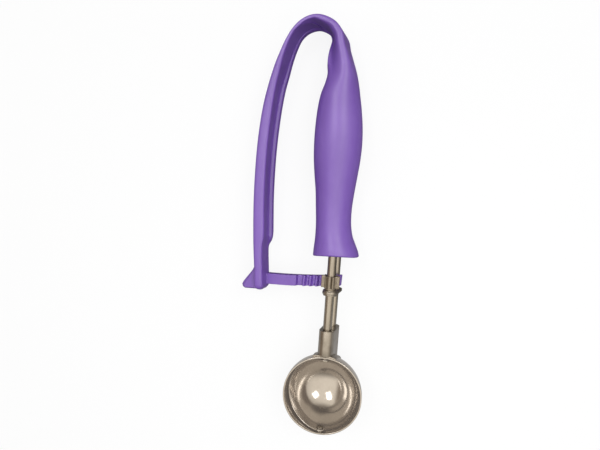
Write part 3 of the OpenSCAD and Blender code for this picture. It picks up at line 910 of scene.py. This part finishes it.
def make_paper():
    material = bpy.data.materials.new("pale_paper")
    material.use_nodes = True
    tree = Flow(material.node_tree)
    for old in list(material.node_tree.nodes):
        material.node_tree.nodes.remove(old)
    camera_ray, reflected = rays(tree)
    near = tree.add("ShaderNodeTexCoord", out="Object").axis(1).between(0.06, 0.02)
    share = camera_ray * CAMERA_WHITE + reflected * (MIRROR_WHITE + near * MIRROR_GAIN)
    tooth = noise(tree, stretched(tree), 60, detail=3)
    unseen = reflected.blend(grey(0.55), rgb(0.11, 0.095, 0.08))
    shade = camera_ray.blend(unseen, tooth.blend(grey(0.86), grey(0.90)))
    paper = tree.add("ShaderNodeBsdfDiffuse", {}, {"Color": shade})
    white = tree.add("ShaderNodeEmission", {}, {"Color": grey(1), "Strength": 1.0})
    mixed = tree.add("ShaderNodeMixShader", {}, {0: share, 1: paper, 2: white})
    end = material.node_tree.nodes.new("ShaderNodeOutputMaterial")
    material.node_tree.links.new(mixed.socket, end.inputs["Surface"])
    return material


floor_mesh.materials.append(make_paper())

# %% [markdown]
# ## Light
# Two soft boxes hang in front of the scoop, where their reflections fall on the bowl's floor. A low card
# lightens the nylon near the bowl, and the steel doesn't mirror it. The dome round them is white to the
# camera. In reflections it is brighter than white overhead and falls off towards the horizon, with darker
# walls on the left and beyond both ends of the scoop, which gives the steel its dark edges. For all other
# rays it is an uneven fill, strongest from the grip's side and almost dark from beyond the bowl.

# %% Soft boxes
def soft_box(name, place, width, height, radiance):
    light = bpy.data.lights.new(name, "AREA")
    light.shape = "RECTANGLE"
    light.size, light.size_y = width, height
    light.energy = radiance * math.pi * width * height
    lamp = bpy.data.objects.new(name, light)
    bpy.context.collection.objects.link(lamp)
    lamp.location = place
    lamp.rotation_euler = (-Vector(place)).to_track_quat("-Z", "Y").to_euler()
    return lamp


soft_box("left_soft_box", (-0.20, 0.47, 1.0), 0.28, 0.42, 5.6)
soft_box("right_soft_box", (0.72, 0.58, 1.0), 0.38, 0.38, 5.4)
low_card = soft_box("low_card", (0.07, 0.02, 0.24), 0.22, 0.22, 2.0)
low_card.visible_glossy = False

# %% Dome
world = bpy.data.worlds.new("studio")
bpy.context.scene.world = world
world.use_nodes = True
tree = Flow(world.node_tree)
camera_ray, reflected = rays(tree)
direction = tree.add("ShaderNodeTexCoord", out="Generated")
side, ahead, height = (direction.axis(i) for i in range(3))
# What reflections see
wall = height.between(-0.15, 0.85).blend(rgb(0.22, 0.18, 0.14), rgb(1.36, 1.26, 1.10))
wall = ahead.between(0.70, 0.93).blend(wall, rgb(0.15, 0.11, 0.08))
wall = ahead.between(-0.35, -0.8).blend(wall, rgb(0.16, 0.13, 0.10))
wall = side.between(-0.42, -0.66).blend(wall, rgb(0.36, 0.28, 0.21))
# What lights everything else
fill = height.between(-0.1, 1.0).blend(grey(0.44), grey(0.47))
fill = side.between(0.12, 0.50).blend(fill, grey(1.35))
fill = side.between(0.60, 0.95).blend(fill, grey(0.55))
fill = side.between(-0.15, -0.75).blend(fill, grey(1.00))
fill = ahead.between(-0.1, -0.8).blend(fill, grey(0.03))
tone = camera_ray.blend(reflected.blend(fill, wall), grey(1))
background = next(n for n in world.node_tree.nodes if n.type == "BACKGROUND")
world.node_tree.links.new(tone.socket, background.inputs["Color"])
background.inputs["Strength"].default_value = 1.0

# %% [markdown]
# ## Camera
# The photograph was taken from close by, almost straight above, a little to the right of the scoop and
# above its middle. The place and the turn below were found by fitting the bowl, the rods and the pinion.

# %% Camera
PLACE = (56.86, 111.54, 260.81)
YAW, PITCH_DOWN, ROLL = 0.2819, 0.0700, 0.0701
forward = Vector((-math.sin(YAW) * math.cos(PITCH_DOWN), -math.sin(PITCH_DOWN),
                  -math.cos(YAW) * math.cos(PITCH_DOWN)))
right = forward.cross(Vector((0, 1, 0))).normalized()
above = right.cross(forward)
rolled_right = right * math.cos(ROLL) + above * math.sin(ROLL)
rolled_up = above * math.cos(ROLL) - right * math.sin(ROLL)
lens = bpy.data.cameras.new("camera")
lens.sensor_width, lens.lens = 36.0, 30.0
lens.clip_start, lens.clip_end = 0.01, 20.0
camera = bpy.data.objects.new("camera", lens)
bpy.context.collection.objects.link(camera)
turn = Matrix((rolled_right, rolled_up, -forward)).transposed().to_4x4()
camera.matrix_world = Matrix.Translation(Vector(PLACE) * MM) @ turn
bpy.context.scene.camera = camera
bpy.context.scene.view_settings.view_transform = "Standard"
print("camera", [round(v, 3) for v in camera.location])
